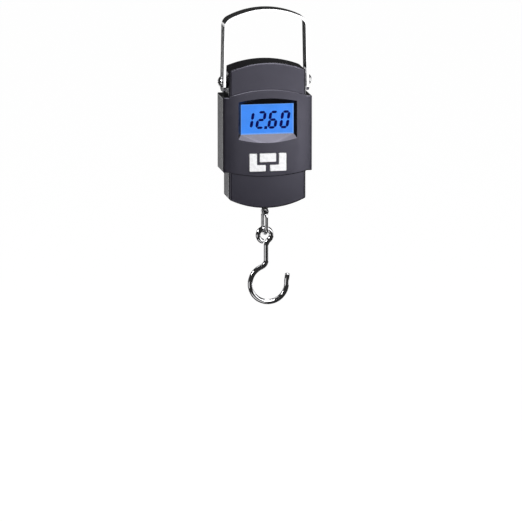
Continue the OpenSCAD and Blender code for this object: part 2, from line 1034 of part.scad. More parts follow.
module batteries() {
    low = -bay_len / 2 + contact_t + spring_len;
    color("darkorange")
    hung()
    at_batteries()
    translate([0, 0, low]) {
        cylinder(r = battery_r, h = battery_len - 1);
        cylinder(r = 1.9, h = battery_len);
    }
}

// Point of a tapered coil after the share t of its turns
function coil_at(t, turns, r0, r1, len) =
    [(r0 + (r1 - r0) * t) * cos(360 * turns * t), (r0 + (r1 - r0) * t) * sin(360 * turns * t), len * t];

// Coil of round wire, with sides facets round the wire and steps rings along it
module coil(turns, r0, r1, len, wire, sides, steps) {
    points = [
        for (i = [0:steps])
            let (
                t = i / steps,
                at = coil_at(t, turns, r0, r1, len),
                out = [cos(360 * turns * t), sin(360 * turns * t), 0]
            )
            for (j = [0:sides - 1])
                at + wire / 2 * (cos(360 * j / sides) * out + sin(360 * j / sides) * [0, 0, 1])
    ];
    walls = [
        for (i = [0:steps - 1], j = [0:sides - 1])
            let (k = (j + 1) % sides)
            [i * sides + j, i * sides + k, (i + 1) * sides + k, (i + 1) * sides + j]
    ];
    first = [for (j = [sides - 1:-1:0]) j];
    last = [for (j = [0:sides - 1]) steps * sides + j];
    polyhedron(points, concat(walls, [first, last]));
}

module battery_springs() {
    wire = 0.6;
    color("silver")
    hung()
    at_batteries()
    translate([0, 0, -bay_len / 2 + contact_t + wire / 2])
    coil(4, battery_r - 1.2, battery_r - 2.4, spring_len - wire, wire, 6, 64);
}

// Flat contacts at both ends of each battery, with corners that follow the round tray
module battery_plates() {
    plate_w = battery_d - 1.7;
    color("gainsboro")
    hung()
    at_batteries()
    for (end = [0, 1])
        mirror([0, 0, end])
        translate([0, 0, -bay_len / 2])
        linear_extrude(contact_t)
        intersection() {
            square(plate_w, center = true);
            circle(bay_r - seat_gap);
        }
}

// ---------- link and hook ----------

module link() {
    color("silver")
    hung()
    rotate([0, 0, eye_turn + 90]) {
        wire_bend(0, eye_z - link_r, link_r, 0, 180, link_wire);
        wire_bend(0, link_low + link_r, link_r, 180, 360, link_wire);
        for (s = [-1, 1])
            translate([s * link_r, 0, link_low + link_r])
            cylinder(r = link_wire / 2, h = link_pitch - 2 * link_r, $fn = 32);
    }
}

module hook() {
    // Angle at which the end of the eye stops short of the stem
    ring_end = 252;
    tip_x = bowl_x + bowl_r + tip_r;
    color("silver")
    hung() {
        wire_bend(0, ring_z, ring_r, -neck_turn, ring_end, hook_wire);
        wire_bend(stem_x + neck_r, neck_z, neck_r, 180 - neck_turn, 180, hook_wire);
        translate([stem_x, 0, knee_z])
        cylinder(r = hook_wire / 2, h = neck_z - knee_z, $fn = 32);
        wire_bend(stem_x - neck_r, knee_z, neck_r, knee_turn - 180, 0, hook_wire);
        wire_bend(bowl_x, bowl_z, bowl_r, knee_turn, 360, hook_wire);
        wire_bend(tip_x, bowl_z, tip_r, 180 - tip_flare, 180, hook_wire);
        wire_joint(ring_r * cos(neck_turn), ring_z - ring_r * sin(neck_turn), hook_wire);
        wire_joint(stem_x, neck_z, hook_wire);
        wire_joint(stem_x, knee_z, hook_wire);
        wire_joint(bowl_x + bowl_r * cos(knee_turn), bowl_z + bowl_r * sin(knee_turn), hook_wire);
        wire_joint(bowl_x + bowl_r, bowl_z, hook_wire);
        wire_joint(tip_x - tip_r * cos(tip_flare), bowl_z + tip_r * sin(tip_flare), hook_wire);
    }
}

handle();
handle_screws();
handle_washers();
front_cover();
rear_cover();
case_screws();
display_window();
lcd_panel();
backlight();
zebra_strip();
circuit_board();
control_chip();
key_switches();
buzzer();
power_button();
unit_button();
tare_button();
cross_bar();
load_cell();
strain_gauges();
cell_bolt();
pull_rod();
rod_nut();
rod_bush();
batteries();
battery_springs();
battery_plates();
battery_door();
link();
hook();
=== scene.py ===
"""Looks of a hand-held hanging scale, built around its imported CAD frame.

Everything is in metres in the frame's own axes: +Z up, -Y the front with the display,
and the origin at the grip, under the middle of the handle's top bar.
"""

import json
import logging
import math
from dataclasses import dataclass
from enum import Enum
from typing import Iterable, Sequence

import bmesh
import bpy
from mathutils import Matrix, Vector


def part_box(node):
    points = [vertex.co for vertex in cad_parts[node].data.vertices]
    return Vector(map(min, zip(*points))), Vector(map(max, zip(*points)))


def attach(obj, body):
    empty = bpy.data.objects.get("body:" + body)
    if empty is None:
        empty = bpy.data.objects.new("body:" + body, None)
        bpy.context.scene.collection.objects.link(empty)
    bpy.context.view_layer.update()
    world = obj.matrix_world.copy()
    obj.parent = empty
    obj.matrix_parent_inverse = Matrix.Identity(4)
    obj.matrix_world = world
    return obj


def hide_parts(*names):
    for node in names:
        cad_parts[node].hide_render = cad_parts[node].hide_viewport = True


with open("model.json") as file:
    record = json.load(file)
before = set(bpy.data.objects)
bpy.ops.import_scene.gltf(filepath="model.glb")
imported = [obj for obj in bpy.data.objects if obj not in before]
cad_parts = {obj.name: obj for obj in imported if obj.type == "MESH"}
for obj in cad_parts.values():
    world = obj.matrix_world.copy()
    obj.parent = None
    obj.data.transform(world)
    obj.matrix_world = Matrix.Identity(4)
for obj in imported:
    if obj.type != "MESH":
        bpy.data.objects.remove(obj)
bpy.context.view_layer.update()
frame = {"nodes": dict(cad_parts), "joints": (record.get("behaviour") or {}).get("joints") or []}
LOG = logging.getLogger("hanging_scale")
MM = 0.001

# Points closer than this are one point, and a cut within this of a point goes through it.
MERGE_GAP = 0.002 * MM
CUT_GAP = 0.001 * MM

Colour = tuple[float, float, float]
Point2 = tuple[float, float]


# ---------------------------------------------------------------- shader graphs


class Value:
    """A number that varies over a surface; its operators add Math nodes."""

    def __init__(self, graph: "Graph", socket: bpy.types.NodeSocket) -> None:
        """Wraps an output socket of a graph."""
        self.graph = graph
        self.socket = socket

    def _with(self, operation: str, *operands: "Value | float", clamp: bool = False) -> "Value":
        """Adds one Math node.

        Args:
            operation: Blender's name of the operation.
            operands: the node's inputs in order, as values or plain numbers.
            clamp: whether the result is held between 0 and 1.

        Returns:
            The node's result.
        """
        settings = {"operation": operation, "use_clamp": clamp}
        node = self.graph.add("ShaderNodeMath", settings, dict(enumerate(operands)))
        return Value(self.graph, node.outputs[0])

    def __add__(self, other: "Value | float") -> "Value":
        """self + other."""
        return self._with("ADD", self, other)

    def __radd__(self, other: float) -> "Value":
        """other + self."""
        return self._with("ADD", other, self)

    def __sub__(self, other: "Value | float") -> "Value":
        """self - other."""
        return self._with("SUBTRACT", self, other)

    def __rsub__(self, other: float) -> "Value":
        """other - self."""
        return self._with("SUBTRACT", other, self)

    def __mul__(self, other: "Value | float") -> "Value":
        """self * other."""
        return self._with("MULTIPLY", self, other)

    def __rmul__(self, other: float) -> "Value":
        """other * self."""
        return self._with("MULTIPLY", other, self)

    def power(self, exponent: float) -> "Value":
        """self raised to a power."""
        return self._with("POWER", self, exponent)

    def magnitude(self) -> "Value":
        """The absolute value."""
        return self._with("ABSOLUTE", self)

    def larger(self, other: "Value | float") -> "Value":
        """The larger of two values."""
        return self._with("MAXIMUM", self, other)

    def ramp(self, low: float, high: float) -> "Value":
        """Rises from 0 to 1 as the value goes from low to high, and is clamped there."""
        span = high - low
        return self._with("MULTIPLY_ADD", self, 1 / span, -low / span, clamp=True)


class Graph:
    """A material's node tree, with one Principled surface unless it is given another."""

    def __init__(self, name: str) -> None:
        """Makes the empty material."""
        self.material = bpy.data.materials.new(name)
        self.material.use_nodes = True
        self.tree = self.material.node_tree
        self.tree.nodes.clear()
        self.place = self.add("ShaderNodeTexCoord").outputs["Object"]

    def add(
        self,
        kind: str,
        settings: dict[str, object] | None = None,
        inputs: dict[str | int, object] | None = None,
    ) -> bpy.types.Node:
        """Adds one node.

        Args:
            kind: Blender's node type.
            settings: attributes set before the inputs; "stops" fills a colour ramp.
            inputs: socket names or numbers, with plain values, sockets or Values.

        Returns:
            The new node.
        """
        node = self.tree.nodes.new(kind)
        for name, setting in (settings or {}).items():
            if name == "stops":
                self._fill_ramp(node, setting)
            else:
                setattr(node, name, setting)
        for name, value in (inputs or {}).items():
            socket = node.inputs[name]
            if isinstance(value, Value):
                self.tree.links.new(value.socket, socket)
            elif isinstance(value, bpy.types.NodeSocket):
                self.tree.links.new(value, socket)
            else:
                socket.default_value = value
        return node

    @staticmethod
    def _fill_ramp(node: bpy.types.Node, stops: Sequence[tuple[float, Colour]]) -> None:
        """Sets the stops of a colour ramp.

        Args:
            node: the ramp.
            stops: positions from 0 to 1 with their colours.
        """
        elements = node.color_ramp.elements
        while len(elements) < len(stops):
            elements.new(1.0)
        for element, (position, colour) in zip(elements, stops):
            element.position = position
            element.color = (*colour, 1.0)

    def axis(self, letter: str) -> Value:
        """One coordinate of the surface point, in metres."""
        split = self.add("ShaderNodeSeparateXYZ", inputs={0: self.place})
        return Value(self, split.outputs[letter])

    def facing_front(self, low: float, high: float) -> Value:
        """Finds where the surface turns to the front.

        Args:
            low: cosine to -Y at which the share starts to rise.
            high: cosine at which it is full.

        Returns:
            The share, from 0 to 1.
        """
        coords = self.add("ShaderNodeTexCoord")
        split = self.add("ShaderNodeSeparateXYZ", inputs={0: coords.outputs["Normal"]})
        return (0.0 - Value(self, split.outputs["Y"])).ramp(low, high)

    def noise(self, size: float, detail: float = 2.0, stretch: Colour = (1, 1, 1)) -> Value:
        """Cloudy noise from 0 to 1.

        Args:
            size: size of one cloud, in metres.
            detail: octaves of finer noise.
            stretch: how much finer the noise is along X, Y and Z.

        Returns:
            The noise.
        """
        mapping = self.add("ShaderNodeMapping", inputs={"Vector": self.place, "Scale": stretch})
        inputs = {"Vector": mapping.outputs[0], "Scale": 1 / size, "Detail": detail}
        node = self.add("ShaderNodeTexNoise", {"noise_dimensions": "3D"}, inputs)
        return Value(self, node.outputs[0])

    def cells(self, size: float) -> Value:
        """Makes grains or specks.

        Args:
            size: size of one grain, in metres.

        Returns:
            Distance to the nearest of many scattered points.
        """
        inputs = {"Vector": self.place, "Scale": 1 / size}
        node = self.add("ShaderNodeTexVoronoi", {"feature": "F1"}, inputs)
        return Value(self, node.outputs[0])

    def moulded_texture(self, grain: float) -> Value:
        """Fine texture that a blasted mould leaves, with grains of a given size in metres."""
        return self.noise(grain, 2) * 0.7 + self.cells(grain * 1.7) * 0.3

    def blend(self, share: Value, low: object, high: object) -> bpy.types.NodeSocket:
        """Mixes two colours.

        Args:
            share: how much of the second colour shows, from 0 to 1.
            low: colour at share 0, plain or linked.
            high: colour at share 1, plain or linked.

        Returns:
            The mixed colour.
        """
        node = self.add("ShaderNodeMix", {"data_type": "RGBA"})
        for socket, value in ((node.inputs[6], low), (node.inputs[7], high)):
            if isinstance(value, bpy.types.NodeSocket):
                self.tree.links.new(value, socket)
            else:
                socket.default_value = (*value, 1.0)
        self.tree.links.new(share.socket, node.inputs[0])
        return node.outputs[2]

    def bump(self, height: Value, depth: float, strength: float = 1.0) -> bpy.types.NodeSocket:
        """Turns a height from 0 to 1 into a normal.

        Args:
            height: the relief.
            depth: real height of the relief, in metres.
            strength: share of the effect.

        Returns:
            The normal.
        """
        inputs = {"Strength": strength, "Distance": depth, "Height": height}
        return self.add("ShaderNodeBump", inputs=inputs).outputs[0]

    def surface(self, shader: bpy.types.NodeSocket) -> bpy.types.Material:
        """Sends a shader to the output and returns the finished material."""
        self.add("ShaderNodeOutputMaterial", inputs={"Surface": shader})
        return self.material

    def principled(self, **inputs: object) -> bpy.types.Material:
        """Finishes the material with a Principled shader.

        Args:
            inputs: socket names, with _ between their words, and their values or links.

        Returns:
            The finished material.
        """
        names = {key.replace("_", " "): value for key, value in inputs.items()}
        shader = self.add("ShaderNodeBsdfPrincipled", inputs=names)
        return self.surface(shader.outputs[0])


# ---------------------------------------------------------------- finishes


def rgba(colour: Colour) -> tuple[float, float, float, float]:
    """An opaque colour."""
    return (*colour, 1.0)


@dataclass(frozen=True)
class MouldedPlastic:
    """Injection-moulded plastic: a fine texture, faint flow clouds and a little dust."""

    name: str
    colour: Colour
    roughness: float = 0.32
    grain: float = 0.35 * MM
    relief: float = 0.006 * MM
    coat: float = 0.0
    dust: float = 0.06

    def material(self) -> bpy.types.Material:
        """Builds the material.

        Returns:
            The finished material.
        """
        graph = Graph(self.name)
        clouds = graph.noise(22 * MM, 3)
        handling = graph.noise(6 * MM, 5).ramp(0.42, 0.75)
        pale = tuple(min(1.0, c * 1.35 + 0.006) for c in self.colour)
        texture = graph.moulded_texture(self.grain)
        return graph.principled(
            Base_Color=graph.blend(clouds.ramp(0.25, 0.8), self.colour, pale),
            Roughness=self.roughness + handling * self.dust + clouds * 0.05,
            Normal=graph.bump(texture, self.relief),
            Coat_Weight=self.coat,
            Coat_Roughness=0.12,
            IOR=1.5,
        )


@dataclass(frozen=True)
class TwoZonePlastic:
    """One moulding with a satin face and glossy rims, as a mould with two polishes leaves it; the rims
    are also painted darker than the face, as painted shade where the surface turns away from the front.
    """

    name: str
    face: Colour = (0.0085, 0.0080, 0.0125)
    # Darker colour of the faces turned away from the front: painted shade, not a colour of the plastic.
    painted_light_rim: Colour = (0.0030, 0.0026, 0.0036)
    face_roughness: float = 0.34
    rim_roughness: float = 0.15
    grain: float = 0.35 * MM
    relief: float = 0.006 * MM
    tint: Colour = (0.94, 0.91, 1.12)

    def material(self) -> bpy.types.Material:
        """Builds the material.

        Returns:
            The finished material.
        """
        graph = Graph(self.name)
        # Share of the surface that faces the front: it gets the satin finish and the face colour; where
        # it is small, the rim colour paints shade.
        satin_and_unshaded = graph.facing_front(0.90, 0.985)
        clouds = graph.noise(22 * MM, 3)
        handling = graph.noise(6 * MM, 5).ramp(0.42, 0.75)
        pale = tuple(c * 1.35 + 0.002 for c in self.face)
        face = graph.blend(clouds.ramp(0.25, 0.8), self.face, pale)
        texture = graph.moulded_texture(self.grain)
        gloss = self.rim_roughness + handling * 0.03
        matte = self.face_roughness + handling * 0.05 + clouds * 0.04
        return graph.principled(
            # Painted shade: the colour darkens where the surface turns away from the front.
            Base_Color=graph.blend(satin_and_unshaded, self.painted_light_rim, face),
            Roughness=gloss * (1.0 - satin_and_unshaded) + matte * satin_and_unshaded,
            Normal=graph.bump(texture * (satin_and_unshaded * 0.95 + 0.05), self.relief),
            Specular_Tint=rgba(self.tint),
            IOR=1.66,
        )


@dataclass(frozen=True)
class PolishedSteel:
    """Plated wire or strip, polished, with fine draw lines and finger haze."""

    name: str
    colour: Colour = (0.70, 0.70, 0.71)
    roughness: float = 0.07
    lines: Colour = (1.0, 1.0, 1.0)
    line_relief: float = 0.0012 * MM

    def material(self) -> bpy.types.Material:
        """Builds the material.

        Returns:
            The finished material.
        """
        graph = Graph(self.name)
        haze = graph.noise(5 * MM, 4).ramp(0.4, 0.8)
        scratches = graph.noise(0.5 * MM, 3, self.lines)
        pits = graph.cells(1.1 * MM).ramp(0.0, 0.12)
        shade = tuple(c * 0.86 for c in self.colour)
        return graph.principled(
            Base_Color=graph.blend(haze, self.colour, shade),
            Metallic=1.0,
            Roughness=self.roughness + haze * 0.07 + scratches.ramp(0.55, 0.9) * 0.06,
            Normal=graph.bump(scratches * 0.8 + pits * 0.2, self.line_relief),
        )


@dataclass(frozen=True)
class PlatedKey:
    """Silver-white paint on a key, under a clear coat, worn a little on its top."""

    name: str
    colour: Colour = (0.96, 0.96, 0.97)
    shadow: Colour = (0.90, 0.90, 0.92)

    def material(self) -> bpy.types.Material:
        """Builds the material.

        Returns:
            The finished material.
        """
        graph = Graph(self.name)
        flakes = graph.cells(0.12 * MM)
        wear = graph.noise(3 * MM, 4).ramp(0.45, 0.8)
        dull = flakes.ramp(0.1, 0.9) * 0.5 + wear * 0.5
        return graph.principled(
            Base_Color=graph.blend(dull, self.colour, self.shadow),
            Metallic=0.05,
            Roughness=0.26 + wear * 0.12,
            Coat_Weight=0.6,
            Coat_Roughness=0.1,
            Normal=graph.bump(flakes, 0.004 * MM),
        )


@dataclass(frozen=True)
class ClearWindow:
    """Clear moulded window: it lets the display through and mirrors the room at its surface."""

    name: str
    tint: Colour = (0.97, 0.985, 1.0)
    gloss: float = 0.03
    mirror: float = 0.012

    def material(self) -> bpy.types.Material:
        """Builds the material.

        Returns:
            The finished material.
        """
        graph = Graph(self.name)
        swirl = graph.noise(4 * MM, 4)
        facing = graph.add("ShaderNodeLayerWeight", inputs={"Blend": 0.5}).outputs["Facing"]
        share = Value(graph, facing).power(5.0) * (1.0 - self.mirror) + self.mirror
        clear = graph.add("ShaderNodeBsdfTransparent", inputs={"Color": rgba(self.tint)})
        inputs = {
            "Color": (1, 1, 1, 1),
            "Roughness": swirl.ramp(0.5, 0.9) * 0.03 + self.gloss,
            "Normal": graph.bump(swirl, 0.0004 * MM),
        }
        gloss = graph.add("ShaderNodeBsdfAnisotropic", inputs=inputs)
        shaders = {0: share, 1: clear.outputs[0], 2: gloss.outputs[0]}
        mix = graph.add("ShaderNodeMixShader", inputs=shaders)
        return graph.surface(mix.outputs[0])


@dataclass(frozen=True)
class BacklitGlass:
    """Blue display glass lit from behind, uneven towards its lamps, with a painted highlight: its glow
    is paler round its rim.
    """

    name: str
    centre: Point2
    half: Point2
    colour: Colour = (0.055, 0.29, 1.0)
    # Paler colour of the glow round the rim: a painted highlight.
    painted_light_rim: Colour = (0.30, 0.56, 1.0)
    strength: float = 0.95

    def material(self) -> bpy.types.Material:
        """Builds the material.

        Returns:
            The finished material.
        """
        graph = Graph(self.name)
        from_x = (graph.axis("X") - self.centre[0]).magnitude()
        from_z = (graph.axis("Z") - self.centre[1]).magnitude()
        # Painted highlight: the glow turns paler within a millimetre of the visible edge.
        rim_highlight_x = from_x.ramp(self.half[0] - 0.9 * MM, self.half[0] - 0.1 * MM)
        rim_highlight_z = from_z.ramp(self.half[1] - 0.9 * MM, self.half[1] - 0.1 * MM)
        edge = rim_highlight_x.larger(rim_highlight_z)
        clouds = graph.noise(9 * MM, 2)
        deep = tuple(c * 0.86 for c in self.colour)
        lit = graph.blend(clouds.ramp(0.2, 0.8), deep, self.colour)
        glow = graph.blend(edge * 0.55, lit, self.painted_light_rim)
        grain = graph.noise(0.25 * MM, 1)
        return graph.principled(
            Base_Color=(0.01, 0.02, 0.05, 1.0),
            Emission_Color=glow,
            Emission_Strength=self.strength,
            Roughness=0.25 + grain * 0.08,
            Specular_IOR_Level=0.15,
            Normal=graph.bump(grain, 0.001 * MM),
        )


@dataclass(frozen=True)
class Metal:
    """Plain machined or plated metal with turning marks."""

    name: str
    colour: Colour
    roughness: float = 0.3
    size: float = 0.4 * MM
    lines: Colour = (1.0, 1.0, 6.0)

    def material(self) -> bpy.types.Material:
        """Builds the material.

        Returns:
            The finished material.
        """
        graph = Graph(self.name)
        marks = graph.noise(self.size, 3, self.lines)
        stain = graph.noise(7 * MM, 3)
        dark = tuple(c * 0.75 for c in self.colour)
        return graph.principled(
            Base_Color=graph.blend(stain.ramp(0.3, 0.8), self.colour, dark),
            Metallic=1.0,
            Roughness=self.roughness + marks * 0.15,
            Normal=graph.bump(marks, 0.006 * MM),
        )


@dataclass(frozen=True)
class SoftRubber:
    """Matte rubber with a powdery bloom."""

    name: str
    colour: Colour = (0.016, 0.016, 0.017)

    def material(self) -> bpy.types.Material:
        """Builds the material.

        Returns:
            The finished material.
        """
        graph = Graph(self.name)
        bloom = graph.noise(2.5 * MM, 4).ramp(0.45, 0.85)
        return graph.principled(
            Base_Color=graph.blend(bloom, self.colour, (0.045, 0.045, 0.047)),
            Roughness=0.62 + bloom * 0.2,
            Normal=graph.bump(graph.noise(0.3 * MM, 2), 0.01 * MM),
        )


@dataclass(frozen=True)
class SolderMask:
    """Green board lacquer over copper tracks, with bare fibre between them."""

    name: str
    mask: Colour = (0.02, 0.17, 0.07)
    track: Colour = (0.04, 0.28, 0.11)

    def material(self) -> bpy.types.Material:
        """Builds the material.

        Returns:
            The finished material.
        """
        graph = Graph(self.name)
        bricks = graph.add(
            "ShaderNodeTexBrick",
            inputs={"Vector": graph.place, "Scale": 190.0, "Mortar Size": 0.03, "Color1": (0, 0, 0, 1),
                    "Color2": (1, 1, 1, 1)},
        )
        tracks = Value(graph, bricks.outputs["Fac"])
        weave = graph.noise(0.4 * MM, 1)
        return graph.principled(
            Base_Color=graph.blend(tracks, self.mask, self.track),
            Roughness=0.3 + weave * 0.1,
            Normal=graph.bump(tracks * 0.7 + weave * 0.3, 0.02 * MM),
        )


@dataclass(frozen=True)
class CellSleeve:
    """Plain sleeve of a battery: a dark body with a pale band at one end."""

    name: str
    body: Colour = (0.03, 0.035, 0.045)
    band: Colour = (0.62, 0.44, 0.12)
    split: float = 0.0

    def material(self) -> bpy.types.Material:
        """Builds the material.

        Returns:
            The finished material.
        """
        graph = Graph(self.name)
        share = graph.axis("Z").ramp(self.split, self.split + 0.1 * MM)
        film = graph.noise(1.5 * MM, 2)
        return graph.principled(
            Base_Color=graph.blend(share, self.body, self.band),
            Metallic=0.4,
            Roughness=0.28 + film * 0.1,
            Coat_Weight=0.5,
            Normal=graph.bump(film, 0.004 * MM),
        )


@dataclass(frozen=True)
class DisplayInk:
    """The dark, slightly blue look of a switched display segment."""

    name: str
    colour: Colour = (0.003, 0.003, 0.07)

    def material(self) -> bpy.types.Material:
        """Builds the material.

        Returns:
            The finished material.
        """
        graph = Graph(self.name)
        film = graph.noise(0.6 * MM, 2)
        return graph.principled(
            Base_Color=graph.blend(film, self.colour, (0.005, 0.005, 0.10)),
            Roughness=0.35 + film * 0.1,
            Specular_IOR_Level=0.0,
            Normal=graph.bump(film, 0.001 * MM),
        )


@dataclass(frozen=True)
class StudioPaper:
    """Pale seamless paper that also glows a little, so that it stays white away from the lamps."""

    name: str
    colour: Colour = (0.12, 0.12, 0.12)
    glow: float = 0.99

    def material(self) -> bpy.types.Material:
        """Builds the material.

        Returns:
            The finished material.
        """
        graph = Graph(self.name)
        tooth = graph.noise(3 * MM, 3)
        shade = tuple(c * 0.98 for c in self.colour)
        return graph.principled(
            Base_Color=graph.blend(tooth, self.colour, shade),
            Emission_Color=graph.blend(tooth, (1.0, 1.0, 1.0), (0.99, 0.99, 0.99)),
            Emission_Strength=self.glow,
            Roughness=0.9,
        )


# ---------------------------------------------------------------- mesh tools


class Shape:
    """Ways to make a mesh object."""

    @staticmethod
    def from_bmesh(name: str, mesh: bmesh.types.BMesh, smooth_angle: float = 35.0) -> bpy.types.Object:
        """Turns a bmesh into a linked object.

        Args:
            name: the object's name.
            mesh: the bmesh, which is freed.
            smooth_angle: edges sharper than this, in degrees, stay sharp.

        Returns:
            The object.
        """
        data = bpy.data.meshes.new(name)
        bmesh.ops.recalc_face_normals(mesh, faces=mesh.faces)
        limit = math.radians(smooth_angle)
        for edge in mesh.edges:
            edge.smooth = len(edge.link_faces) != 2 or edge.calc_face_angle(0.0) < limit
        for face in mesh.faces:
            face.smooth = True
        mesh.to_mesh(data)
        mesh.free()
        made = bpy.data.objects.new(name, data)
        bpy.context.scene.collection.objects.link(made)
        return made

    @staticmethod
    def weighted(piece: bpy.types.Object) -> bpy.types.Object:
        """Lets large flat faces keep their own normals beside small rounded ones.

        Args:
            piece: the object that gets weighted normals.

        Returns:
            The same object.
        """
        modifier = piece.modifiers.new("weighted_normals", "WEIGHTED_NORMAL")
        modifier.keep_sharp = True
        return piece

    @staticmethod
    def softened(
        name: str, node: str, width: float, steps: int = 3, angle: float = 40.0
    ) -> bpy.types.Object:
        """Copies a CAD node and rounds its sharp edges.

        Args:
            name: name of the new piece.
            node: the CAD node that is copied.
            width: width of the rounding, in metres.
            steps: faces across each rounding.
            angle: edges sharper than this are rounded, in degrees.

        Returns:
            The new piece.
        """
        mesh = bmesh.new()
        mesh.from_mesh(frame["nodes"][node].data)
        bmesh.ops.remove_doubles(mesh, verts=mesh.verts, dist=MERGE_GAP)
        bmesh.ops.dissolve_limit(
            mesh,
            angle_limit=math.radians(1.0),
            verts=mesh.verts,
            edges=mesh.edges,
            use_dissolve_boundaries=False,
        )
        limit = math.radians(angle)
        sharp = [e for e in mesh.edges if len(e.link_faces) == 2 and e.calc_face_angle(0.0) > limit]
        bmesh.ops.bevel(
            mesh,
            geom=sharp,
            offset=width,
            segments=steps,
            profile=0.5,
            affect="EDGES",
            clamp_overlap=True,
        )
        return Shape.weighted(Shape.from_bmesh(name, mesh, 30.0))

    @staticmethod
    def tube(name: str, path: Sequence[Vector], radius: float, sides: int = 40) -> bpy.types.Object:
        """Sweeps a round section along a plane path in X and Z, with domed ends.

        Args:
            name: name of the new piece.
            path: centreline points; a closed path repeats its first point at the end.
            radius: radius of the wire.
            sides: facets round the wire.

        Returns:
            The new piece.
        """
        closed = (path[0] - path[-1]).length < 1e-6
        points = list(path[:-1]) if closed else list(path)
        count = len(points)
        mesh = bmesh.new()
        rings: list[list[bmesh.types.BMVert]] = []
        across = Vector((0, 1, 0))

        def ring(at: Vector, along: Vector, r: float) -> list[bmesh.types.BMVert]:
            """One ring of the section.

            Args:
                at: its centre.
                along: direction of the wire there.
                r: its radius.

            Returns:
                The ring's points.
            """
            side = along.cross(across).normalized()
            turn = 2 * math.pi / sides
            return [
                mesh.verts.new(at + r * (math.cos(turn * k) * across + math.sin(turn * k) * side))
                for k in range(sides)
            ]

        def heading(i: int) -> Vector:
            """Direction of the path at a point.

            Args:
                i: number of the point.

            Returns:
                A unit vector.
            """
            before = points[(i - 1) % count] if closed or i > 0 else points[i]
            after = points[(i + 1) % count] if closed or i < count - 1 else points[i]
            return (after - before).normalized()

        bulge = 0.45 * radius
        dome = [math.radians(a) for a in (78, 60, 40, 20)]
        if not closed:
            start = heading(0)
            for a in dome:
                rings.append(ring(points[0] - start * bulge * math.sin(a), start, radius * math.cos(a)))
        rings += [ring(points[i], heading(i), radius) for i in range(count)]
        if not closed:
            end = heading(count - 1)
            for a in reversed(dome):
                rings.append(ring(points[-1] + end * bulge * math.sin(a), end, radius * math.cos(a)))
        pairs = zip(rings, rings[1:] + rings[:1]) if closed else zip(rings, rings[1:])
        for first, second in pairs:
            for k in range(sides):
                after = (k + 1) % sides
                mesh.faces.new((first[k], first[after], second[after], second[k]))
        if not closed:
            mesh.faces.new(rings[0][::-1])
            mesh.faces.new(rings[-1])
        return Shape.from_bmesh(name, mesh, 60.0)

    @staticmethod
    def plate(mesh: bmesh.types.BMesh, outline: Iterable[Point2], y: float, depth: float) -> None:
        """Adds a flat plate to a bmesh.

        Args:
            mesh: the bmesh.
            outline: corners in X and Z.
            y: where the plate starts.
            depth: its thickness along +Y.
        """
        outline = list(outline)
        front = [mesh.verts.new((x, y, z)) for x, z in outline]
        back = [mesh.verts.new((x, y + depth, z)) for x, z in outline]
        mesh.faces.new(front)
        mesh.faces.new(back[::-1])
        count = len(outline)
        for i in range(count):
            j = (i + 1) % count
            mesh.faces.new((front[i], front[j], back[j], back[i]))


def arc(centre: Point2, radius: float, start: float, end: float, steps: int) -> list[Vector]:
    """Points of an arc in X and Z.

    Args:
        centre: centre of the arc.
        radius: its radius.
        start: first angle from +X towards +Z, in degrees.
        end: last angle, in degrees.
        steps: number of stretches.

    Returns:
        steps + 1 points with Y = 0.
    """
    angles = [math.radians(start + (end - start) * i / steps) for i in range(steps + 1)]
    x, z = centre
    return [Vector((x + radius * math.cos(a), 0, z + radius * math.sin(a))) for a in angles]


def joint_place(name: str) -> Vector:
    """Where a hinge's axis is in the frame."""
    found = next(j for j in frame["joints"] if j["name"] == name)
    return Vector(found["pos_m"])


def dress(node: str, material: bpy.types.Material) -> None:
    """Gives a CAD node one material, in place of those it came with.

    Args:
        node: name of the node.
        material: what it is dressed in.
    """
    data = frame["nodes"][node].data
    data.materials.clear()
    data.materials.append(material)


def place(
    piece: bpy.types.Object, body: str, slot: str, material: bpy.types.Material, *nodes: str
) -> None:
    """Puts a piece in its place.

    Args:
        piece: the object.
        body: the body it rides on.
        slot: not used.
        material: its look.
        nodes: CAD nodes that it replaces, if any.
    """
    piece.data.materials.clear()
    piece.data.materials.append(material)
    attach(piece, body)
    if nodes:
        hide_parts(*nodes)
    LOG.info("%s rides on %s: %d faces", piece.name, body, len(piece.data.polygons))


# ---------------------------------------------------------------- sub-assemblies


@dataclass
class Bail:
    """The steel handle with its two domed screws and washers."""

    edge: float = 0.35 * MM
    foot_corner: float = 3.5 * MM
    foot_rim: float = 0.85
    steel: PolishedSteel = PolishedSteel("bail_steel", lines=(1.0, 9.0, 1.0))
    screw: PolishedSteel = PolishedSteel("screw_steel", roughness=0.1)
    washer: MouldedPlastic = MouldedPlastic("washer_plastic", (0.012, 0.012, 0.013), 0.5)

    def square_feet(self, strip: bpy.types.Object) -> None:
        """Turns the half-round ends of the legs into straight-sided feet with two rounded corners.

        Args:
            strip: the bail, whose outline is moved outwards below its screws.
        """
        low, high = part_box("handle")
        half = high.y
        axis_z = low.z + half
        inner = half - self.foot_corner
        for vert in strip.data.vertices:
            y, z = vert.co.y, vert.co.z - axis_z
            reach = math.hypot(y, z)
            if z >= 0 or reach < self.foot_rim * half:
                continue
            across, down = abs(y) / reach, -z / reach
            corner = inner * (across + down)
            spare = corner ** 2 - 2 * inner ** 2 + self.foot_corner ** 2
            rounded = corner + math.sqrt(max(0.0, spare))
            side = half / max(across, down)
            low_share = min(across, down) * side
            grown = (side if low_share < inner else rounded) / half
            vert.co.y, vert.co.z = y * grown, axis_z + z * grown

    def build(self) -> None:
        """Rounds the strip's edges and the screws' slots, and dresses them."""
        strip = Shape.softened("bail_strip", "handle", self.edge)
        self.square_feet(strip)
        place(strip, "handle", "polished_steel", self.steel.material(), "handle")
        screws = Shape.softened("domed_screws", "handle_screws", 0.12 * MM, 2, 50.0)
        place(screws, "housing", "screw_steel", self.screw.material(), "handle_screws")
        dress("handle_washers", self.washer.material())


